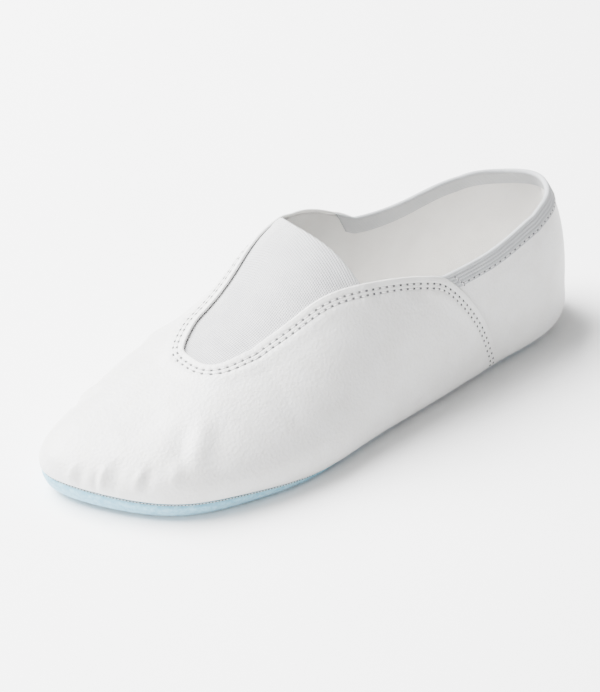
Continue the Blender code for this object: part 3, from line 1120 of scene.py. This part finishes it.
@dataclass
class Lining:
    """The thin twill that covers the inside of the leather, from the sole to just under the top edge."""

    last: Last
    thickness: float = 0.3 * MM
    clear: float = 0.02 * MM
    below_edge: float = 1.2 * MM
    low: float = 0.02
    high: float = 0.99
    columns: int = 200
    rows: int = 26

    def build(self) -> bpy.types.Object:
        """Makes the lining.

        Returns:
            The lining.
        """
        last = self.last
        numbers = np.linspace(0.0, len(RIBS), self.columns)
        edge = last.edge(numbers)
        top = 1.0 - last.share_of(numbers, edge, self.below_edge) / edge
        shares = top[:, None] * np.append(np.linspace(self.low, self.high, self.rows), 1.0)
        patch = Patch.lay(last.wall, numbers[:, None], shares)
        outer = np.full(shares.shape, -self.clear)
        inner = outer - self.thickness
        inner[:, -1] = outer[:, -1]
        return settle(patch.shell("lining", outer, inner), Slot.LEATHER, LINING, LINING)


@dataclass
class Quarter:
    """The thinner leather round the heel, which runs in under the vamp's rear edges and the collar band."""

    last: Last
    wall: float = 1.1 * MM
    overlap_ribs: float = 0.2
    under_band: float = 0.05
    tuck: float = 1.5 * MM
    tuck_share: float = 0.6
    low_rows: tuple[float, ...] = (0.0, 0.002, 0.006, 0.013, 0.022, 0.035)
    columns: int = 220
    rows: int = 44

    def build(self) -> bpy.types.Object:
        """Makes the heel quarter.

        Returns:
            The quarter.
        """
        last = self.last
        numbers = last.round_heel(self.overlap_ribs, self.columns)[:, None]
        upper_rows = np.linspace(self.low_rows[-1], 1.0 - self.under_band, self.rows)
        rise = np.concatenate([self.low_rows[:-1], upper_rows])
        patch = Patch.lay(last.wall, numbers, rise[None, :])
        up = runs_along(patch.points, 1)
        outer = self.wall * (1.0 - self.tuck_share * (1.0 - rounded(up, self.tuck)))
        inner = np.zeros_like(outer)
        for edge in (np.s_[0, :], np.s_[-1, :], np.s_[:, -1]):
            outer[edge] = inner[edge] = 0.5 * self.wall
        return settle(patch.shell("heel_quarter", outer, inner), Slot.LEATHER, LEATHER, LINING)


@dataclass
class CollarBand:
    """The folded binding round the collar, ribbed along its length."""

    last: Last
    height: float = 7.0 * MM
    outside: float = 1.65 * MM
    inside: float = -0.60 * MM
    rib_depth: float = 0.20 * MM
    rib_width: float = 0.35 * MM
    rib_lines: tuple[float, float, float] = (1.5 * MM, 2.9 * MM, 4.3 * MM)
    stitch_row: float = 6.0 * MM
    sewn_depth: float = 0.12 * MM
    sewn_width: float = 0.5 * MM
    low_drop: float = 0.45 * MM
    low_round: float = 0.5 * MM
    row_swing: float = 0.35
    overlap_ribs: float = 0.34
    end_ribs: float = 0.22
    end_share: float = 0.3
    columns: int = 260
    rows: int = 44

    def depths(self) -> Array:
        """Spaces the rows, close together at both edges.

        Returns:
            Their distances down from the top edge.
        """
        even = np.linspace(0.0, 1.0, self.rows)
        swing = 0.5 - 0.5 * np.cos(np.pi * even)
        return self.height * (self.row_swing * swing + (1.0 - self.row_swing) * even)

    def outer_height(self, depth: Array) -> Array:
        """Finds the height of the band's face.

        Args:
            depth: Distances down from the top edge.

        Returns:
            The heights over the last.
        """
        half = 0.5 * (self.outside - self.inside)
        ribs = self.rib_depth * sum(bell(depth - line, self.rib_width) for line in self.rib_lines)
        sewn = self.sewn_depth * bell(depth - self.stitch_row, self.sewn_width)
        low = self.low_drop * (1.0 - rounded(self.height - depth, self.low_round))
        return self.inside + half + half * rounded(depth, half) - ribs - sewn - low

    def build(self) -> bpy.types.Object:
        """Makes the band in place of its solid.

        Returns:
            The band.
        """
        last = self.last
        numbers = last.round_heel(self.overlap_ribs, self.columns)
        edge = last.edge(numbers)
        depth = self.depths()[::-1]
        shares = 1.0 - last.share_of(numbers, edge, 1.0)[:, None] * depth / edge[:, None]
        patch = Patch.lay(last.wall, numbers[:, None], shares)
        outer = np.broadcast_to(self.outer_height(depth), shares.shape).copy()
        half = 0.5 * (self.outside - self.inside)
        inner = np.broadcast_to(self.inside + half * (1.0 - rounded(depth, half)), shares.shape).copy()
        from_end = np.minimum(numbers - numbers[0], numbers[-1] - numbers)
        thick = self.end_share + (1.0 - self.end_share) * smooth_step(0.0, self.end_ribs, from_end)
        outer = inner + (outer - inner) * thick[:, None]
        close_edges(outer, inner, 0, -1)
        band = patch.shell("collar_binding", outer, inner)
        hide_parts("collar_band")
        return settle(band, Slot.BINDING, BINDING, BINDING)


@dataclass
class InstepElastic:
    """The bowed elastic that fills the vamp's throat and runs in under its edge."""

    last: Last
    wall: float = 1.0 * MM
    outer_corner: float = 0.494
    inner_corner: float = 0.505
    top: float = 0.533
    overlap: float = 5.0 * MM
    hem: float = 4.0 * MM
    hem_swell: float = 0.25 * MM
    hem_blend: float = 0.5 * MM
    round_top: float = 0.125
    round_share: float = 0.25
    ease_steps: int = 400
    ease_rate: float = 0.8
    ease_width: float = 0.35
    ease_columns: int = 12
    crown_from: float = 0.7
    columns: int = 80
    fan: int = 90
    rows: int = 60

    def ease_ridge(self, patch: Patch) -> None:
        """Rounds the patch over its ridge, where the two sides of the last meet.

        Args:
            patch: The gusset's patch, changed in place.
        """
        sides = self.columns
        outer, inner = np.s_[:sides, :], np.s_[: -sides - 1 : -1, ::-1]
        whole = np.concatenate([patch.points[outer], patch.points[inner][:, 1:]], axis=1)
        level = np.abs(np.linspace(-1.0, 1.0, whole.shape[1]))
        from_front = np.arange(sides, 0, -1.0)[:, None]
        weight = bell(level, self.ease_width) * smooth_step(0, self.ease_columns, from_front)
        for _ in range(self.ease_steps):
            middle = 0.5 * (whole[:, :-2] + whole[:, 2:])
            whole[:, 1:-1] += self.ease_rate * weight[:, 1:-1, None] * (middle - whole[:, 1:-1])
        normals = unit(np.cross(np.gradient(whole, axis=1), np.gradient(whole, axis=0)))
        rows = self.rows
        for values, sheet in ((patch.points, whole), (patch.normals, normals)):
            values[outer] = sheet[:, :rows]
            values[inner] = sheet[:, rows - 1 :]

    def crown(self, patch: Patch) -> None:
        """Gives the columns that fan out in front of the ridge one direction where they meet.

        Args:
            patch: The gusset's patch, changed in place.
        """
        fan = patch.normals[self.columns : -self.columns]
        weight = smooth_step(self.crown_from, 1.0, np.linspace(0.0, 1.0, self.rows))[:, None]
        fan[:] = unit(fan * (1.0 - weight) + unit(fan[:, -1].mean(0)) * weight)

    def chart(self, patch: Patch, numbers: Array) -> Array:
        """Maps the cloth flat, so that its cords run straight across the foot.

        Args:
            patch: The gusset's patch.
            numbers: Its rib numbers.

        Returns:
            Lengths along and across the foot, by column and row.
        """
        rib = self.last.section(numbers)
        run = runs_along(patch.points[:, ::-1], 1)[:, ::-1]
        return np.stack([self.last.along_ridge(rib["x"]) + run * rib["out_x"], run * rib["out_y"]], -1)

    def build(self) -> bpy.types.Object:
        """Makes the gusset in place of its solid.

        Returns:
            The gusset.
        """
        last = self.last
        rise = np.linspace(0.0, 1.0, self.rows)
        bow = rise - self.round_top * np.maximum((rise - 1.0 + self.round_share) / self.round_share, 0.0) ** 2
        corners = (self.outer_corner, self.inner_corner)
        starts = [(corner + (self.top - corner) * bow) * last.length for corner in corners]
        numbers = last.both_sides(starts[0], starts[1], self.columns, self.fan)
        edge = last.edge(numbers)
        low = edge - last.share_of(numbers, edge, self.overlap)
        patch = Patch.lay(last.side, numbers, low + (1.0 - low) * rise)
        self.ease_ridge(patch)
        self.crown(patch)
        from_top = np.minimum(runs_along(patch.points, 0), runs_along(patch.points[::-1], 0)[::-1])
        half = 0.5 * self.wall
        round_edge = rounded(from_top, half)
        folded = 1.0 - smooth_step(self.hem - self.hem_blend, self.hem + self.hem_blend, from_top)
        hem = self.hem_swell * folded
        outer = half + half * round_edge + hem * round_edge
        inner = half - half * round_edge
        outer[:, 0] = inner[:, 0] = half
        gusset = patch.shell("instep_gusset", outer, inner, self.chart(patch, numbers))
        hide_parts("instep_elastic")
        return settle(gusset, Slot.ELASTIC, ELASTIC, ELASTIC)


@dataclass
class Sole:
    """The thin suede sole, turned up at its rim, and the felt sock that lies on it."""

    last: Last
    rim: float = 1.3 * MM
    rim_drop: float = 1.7 * MM
    turn_reach: float = 1.3
    turn_power: float = 1.5
    turn_rows: int = 14
    middle: float = 0.02
    columns: int = 80
    toe: int = 100
    heel: int = 60
    rows: int = 26

    def outer_height(self, depth: Array) -> Array:
        """Returns the height of the sole's face at a distance in from its rim."""
        return self.last.sole - self.rim_drop * (1.0 - rounded(depth, self.rim))

    def build(self) -> list[bpy.types.Object]:
        """Makes the sole in place of its solid, and dresses the sock's solid.

        Returns:
            The sole and the sock.
        """
        last = self.last
        numbers = last.ring(self.columns, self.toe, self.heel)[:, None]
        rib = last.section(numbers)
        reach = self.turn_reach * rib["run"] / rib["foot"]
        flat = np.linspace(0.0, 1.0, self.rows)[:-1] * (1.0 - reach)
        turn = 1.0 - (1.0 - np.linspace(0.0, 1.0, self.turn_rows)) ** self.turn_power * reach
        shares = np.concatenate([flat, turn], axis=1)
        patch = Patch.lay(last.bottom, numbers, shares, top=1.0, low=self.middle)
        outer = self.outer_height(runs_along(patch.points[:, ::-1], 1)[:, ::-1])
        inner = np.zeros_like(outer)
        sole = patch.shell("suede_sole", outer, inner)
        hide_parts("outsole")
        settle(sole, Slot.SUEDE, SUEDE, FELT)
        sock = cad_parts["insole"]
        sock.data.materials.clear()
        sock.data.materials.append(FELT.material())
        return [sole, sock]


class Row(NamedTuple):
    """A row of stitches: where its holes lie, the ways out of and along them, and half a hole's width."""

    places: Array
    outs: Array
    ways: Array
    hole: float


@dataclass
class Stitching:
    """Rows of lock stitches: white threads that dip into needle holes, whose shade is painted as dark lenses.
    """

    last: Last
    edge: VampEdge
    vamp: Vamp
    band: CollarBand
    sole: Sole
    pitch: float = 3.0 * MM
    hole: float = 0.50 * MM
    hole_shape: tuple[float, float, float] = (1.45, 0.9, 0.25)
    thread_share: float = 0.5
    thread_reach: float = 0.42
    thread_lift: float = 0.02 * MM
    lowest: float = 0.045
    vamp_shift: float = 0.3
    band_gap: float = 0.02
    band_shift: float = 0.2
    tack: float = 2.2 * MM
    tack_top: float = 0.8 * MM
    tack_pitch: float = 2.1 * MM
    tack_hole: float = 0.40 * MM
    tack_shift: float = 0.1
    # The toe row's small, close holes are painted shade for the dark line at the join of leather and sole.
    toe_pitch: float = 1.25 * MM
    toe_hole: float = 0.26 * MM
    toe_shift: float = 0.5
    toe_ribs: tuple[float, float] = (5.4, 13.6)
    toe_depth: float = 0.14 * MM
    rim_shares: tuple[float, float] = (1.0, 0.9)
    rim_samples: int = 60
    samples: int = 900
    toe_samples: int = 600
    rows: list[Row] = field(init=False)

    def __post_init__(self) -> None:
        """Lays out the rows on the vamp's edge, the collar band, the band's ends and the toe of the sole,
        where close small dark holes paint the shade of the join.
        """
        self.rows = self.vamp_rows()
        self.rows.append(self.band_row())
        self.rows += [self.tack_row(side) for side in (True, False)]
        self.rows.append(self.toe_row_with_join_shade())

    def even(
        self, points: Array, normals: Array, shift: float, pitch: float, hole: float, run: Array | None = None
    ) -> Row:
        """Spaces stitches evenly along a line.

        Args:
            points: Points of the line on the face that is sewn.
            normals: Outward directions there.
            shift: The first stitch's place, as a share of the pitch.
            pitch: The length of a stitch.
            hole: Half the width of a needle hole.
            run: The lengths to space them by, or none for the line's own.

        Returns:
            The row.
        """
        run = lengths_along(points) if run is None else run
        at = (np.arange(int(run[-1] / pitch - shift) + 1) + shift) * pitch
        values = (points, normals, unit(np.gradient(points, axis=0)))
        places, outs, ways = (np.stack([np.interp(at, run, v[:, k]) for k in range(3)], -1) for v in values)
        return Row(places, unit(outs), unit(ways), hole)

    def vamp_rows(self) -> list[Row]:
        """Lays two rows along the vamp's edge, down to just above the sole, as a twin needle sews them.

        Returns:
            The rows, with their holes in pairs.
        """
        lines = [self.edge.inset(depth) for depth in self.vamp.stitch_rows]
        kept = np.minimum(lines[0][1], lines[1][1]) > self.lowest
        rows, run = [], None
        for depth, (number, share) in zip(self.vamp.stitch_rows, lines):
            number, share = number[kept], share[kept]
            patch = Patch.lay(self.last.side, number, share)
            points = patch.lifted(self.vamp.outer_height(np.full_like(number, depth), number, share))
            run = lengths_along(points) if run is None else run
            rows.append(self.even(points, patch.normals, self.vamp_shift, self.pitch, self.hole, run))
        return rows

    def band_row(self) -> Row:
        """Lays the row along the collar band's lower edge.

        Returns:
            The row.
        """
        last = self.last
        numbers = last.round_heel(-self.band_gap, self.samples)
        edge = last.edge(numbers)
        shares = 1.0 - last.share_of(numbers, edge, 1.0) * self.band.stitch_row / edge
        patch = Patch.lay(last.wall, numbers, shares)
        points = patch.lifted(self.band.outer_height(np.array(self.band.stitch_row)))
        return self.even(points, patch.normals, self.band_shift, self.pitch, self.hole)

    def tack_row(self, outer_side: bool) -> Row:
        """Lays the short row that holds an end of the collar band, beside the vamp's edge.

        Args:
            outer_side: Whether it is the end on the outer side.

        Returns:
            The row.
        """
        number, share = self.edge.inset(-self.tack)
        half = slice(None, len(number) // 2) if outer_side else slice(len(number) // 2, None)
        number, share = number[half], share[half]
        below = (self.last.edge(number) - share) / self.last.share_of(number, self.last.edge(number), 1.0)
        behind = (number < self.last.seam_outer) | (number > self.last.seam_inner)
        kept = behind & (below > self.tack_top) & (below < self.band.height)
        patch = Patch.lay(self.last.side, number[kept], share[kept])
        points = patch.lifted(self.band.outer_height(below[kept]))
        return self.even(points, patch.normals, self.tack_shift, self.tack_pitch, self.tack_hole)

    def rim_line(self, depth: float) -> Array:
        """Follows the sole's face round the toe.

        Args:
            depth: A distance in from its rim.

        Returns:
            The points of the line at that depth.
        """
        numbers = np.linspace(*self.toe_ribs, self.toe_samples)
        shares = np.linspace(*self.rim_shares, self.rim_samples)
        run = runs_along(self.last.bottom(numbers[:, None], shares[None, :]), 1)
        at = np.array([np.interp(depth, steps, shares) for steps in run])
        patch = Patch.lay(self.last.bottom, numbers, at, top=1.0)
        return patch.lifted(self.sole.outer_height(depth))

    def toe_row_with_join_shade(self) -> Row:
        """Lays the row along the sole's turned-up rim at the toe. Its close-set dark hole lenses are painted
        shade for the dark line where the leather meets the sole.

        Returns:
            The row.
        """
        step = 0.1 * MM
        low, line, high = (self.rim_line(self.toe_depth + k * step) for k in (-1, 0, 1))
        outs = unit(np.cross(np.gradient(line, axis=0), high - low))
        return self.even(line, outs, self.toe_shift, self.toe_pitch, self.toe_hole)

    def build(self) -> list[bpy.types.Object]:
        """Makes all the threads as one piece and all the painted hole shades as another.

        Returns:
            The threads and the painted hole shades.
        """
        pieces = []
        # The holes are not cut: each one is a dark lens of painted shade on the surface.
        for name, finish in (("seam_threads", THREAD), ("needle_hole_shades", HOLE_SHADE)):
            whole = bmesh.new()
            for row in self.rows:
                strip = bmesh.new()
                (self.add_threads if finish is THREAD else self.add_hole_shades)(strip, row)
                data = bpy.data.meshes.new("strip")
                strip.to_mesh(data)
                strip.free()
                whole.from_mesh(data)
                bpy.data.meshes.remove(data)
            for face in whole.faces:
                face.smooth = True
            pieces.append(settle(as_object(whole, name), Slot.LEATHER, finish))
        return pieces

    def spot(self, row: Row, k: int, place: Array) -> Matrix:
        """Returns the matrix that turns a shape to the row's k-th stitch and moves it to a place."""
        axes = np.stack([row.ways[k], np.cross(row.outs[k], row.ways[k]), row.outs[k]], -1)
        return Matrix.Translation(Vector(place)) @ Matrix(axes.tolist()).to_4x4()

    def add_threads(self, mesh: bmesh.types.BMesh, row: Row) -> None:
        """Adds a thread between each hole of a row and the next.

        Args:
            mesh: The bmesh that takes the threads.
            row: The row.
        """
        for k in range(len(row.places) - 1):
            step = np.linalg.norm(row.places[k + 1] - row.places[k])
            middle = 0.5 * (row.places[k] + row.places[k + 1]) + self.thread_lift * row.outs[k]
            thread = self.thread_share * row.hole
            size = Matrix.Diagonal((self.thread_reach * step, thread, thread, 1.0))
            bmesh.ops.create_uvsphere(
                mesh, u_segments=6, v_segments=6, radius=1.0, matrix=self.spot(row, k, middle) @ size
            )

    def add_hole_shades(self, mesh: bmesh.types.BMesh, row: Row) -> None:
        """Adds a shallow dark lens at each hole of a row, as painted shade in the hole.

        Args:
            mesh: The bmesh that takes the lenses.
            row: The row.
        """
        size = Matrix.Diagonal((*(share * row.hole for share in self.hole_shape), 1.0))
        for k, place in enumerate(row.places):
            bmesh.ops.create_uvsphere(
                mesh, u_segments=8, v_segments=4, radius=1.0, matrix=self.spot(row, k, place) @ size
            )


@dataclass
class Studio:
    """A pale floor, soft light and a camera that looks at the outer side from in front and above."""

    azimuth: float = math.radians(39.81)
    elevation: float = math.radians(30.22)
    roll: float = math.radians(0.78)
    distance: float = 1.081
    stand: Vector = field(default_factory=lambda: Vector((0.0910, 0.0, 0.030)))
    aim: Vector = field(default_factory=lambda: Vector((0.0958, -0.0041, 0.0240)))
    photo_focal: float = 2021.0
    closer: float = 1.42
    sensor: float = 36.0
    surround: float = 0.48
    floor_half: float = 4.0

    def look(self, piece: bpy.types.Object, target: Vector) -> None:
        """Turns a light or camera to a target."""
        piece.rotation_euler = (target - piece.location).to_track_quat("-Z", "Y").to_euler()

    def camera(self) -> None:
        """Makes the scene's camera."""
        data = bpy.data.cameras.new("camera")
        data.sensor_fit = "HORIZONTAL"
        data.sensor_width = self.sensor
        data.lens = self.closer * self.photo_focal * self.sensor / IMAGE_WIDTH
        camera = bpy.data.objects.new("camera", data)
        flat = math.cos(self.elevation)
        across, along = flat * math.sin(self.azimuth), flat * math.cos(self.azimuth)
        back = Vector((across, along, math.sin(self.elevation)))
        camera.location = self.stand + self.distance * back
        self.look(camera, self.aim)
        camera.rotation_euler.rotate_axis("Z", -self.roll)
        bpy.context.scene.collection.objects.link(camera)
        bpy.context.scene.camera = camera

    def light(self, name: str, place: tuple[float, float, float], size: float, power: float) -> None:
        """Adds a soft square light.

        Args:
            name: The light's name.
            place: Where it hangs.
            size: The side of the square.
            power: Its power in watts.
        """
        data = bpy.data.lights.new(name, "AREA")
        data.size, data.energy = size, power
        lamp = bpy.data.objects.new(name, data)
        lamp.location = place
        self.look(lamp, self.aim)
        bpy.context.scene.collection.objects.link(lamp)

    def build(self) -> None:
        """Makes the camera, the lights, the pale surroundings and the floor."""
        self.camera()
        self.light("key", place=(0.62, -0.95, 1.35), size=1.6, power=290.0)
        self.light("fill", place=(1.15, 0.08, 0.28), size=0.7, power=13.0)
        world = bpy.data.worlds.new("studio")
        world.use_nodes = True
        background = world.node_tree.nodes["Background"]
        background.inputs["Color"].default_value = to_linear("#ffffff")
        background.inputs["Strength"].default_value = self.surround
        bpy.context.scene.world = world
        mesh = bmesh.new()
        bmesh.ops.create_grid(mesh, x_segments=2, y_segments=2, size=self.floor_half)
        floor = as_object(mesh, "floor")
        floor.data.materials.append(FLOOR.material())


def main() -> None:
    """Builds the shoe and its studio."""
    logging.basicConfig(level=logging.INFO, format="%(name)s: %(message)s")
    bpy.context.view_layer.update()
    Studio().build()
    last = Last()
    edge = VampEdge(last)
    vamp, band, sole = Vamp(last, edge), CollarBand(last), Sole(last)
    stitching = Stitching(last, edge, vamp, band, sole)
    vamp.build(np.concatenate([row.places for row in stitching.rows[:2]]))
    Lining(last).build()
    Quarter(last).build()
    band.build()
    InstepElastic(last).build()
    sole.build()
    stitching.build()


if __name__ == "__main__":
    main()
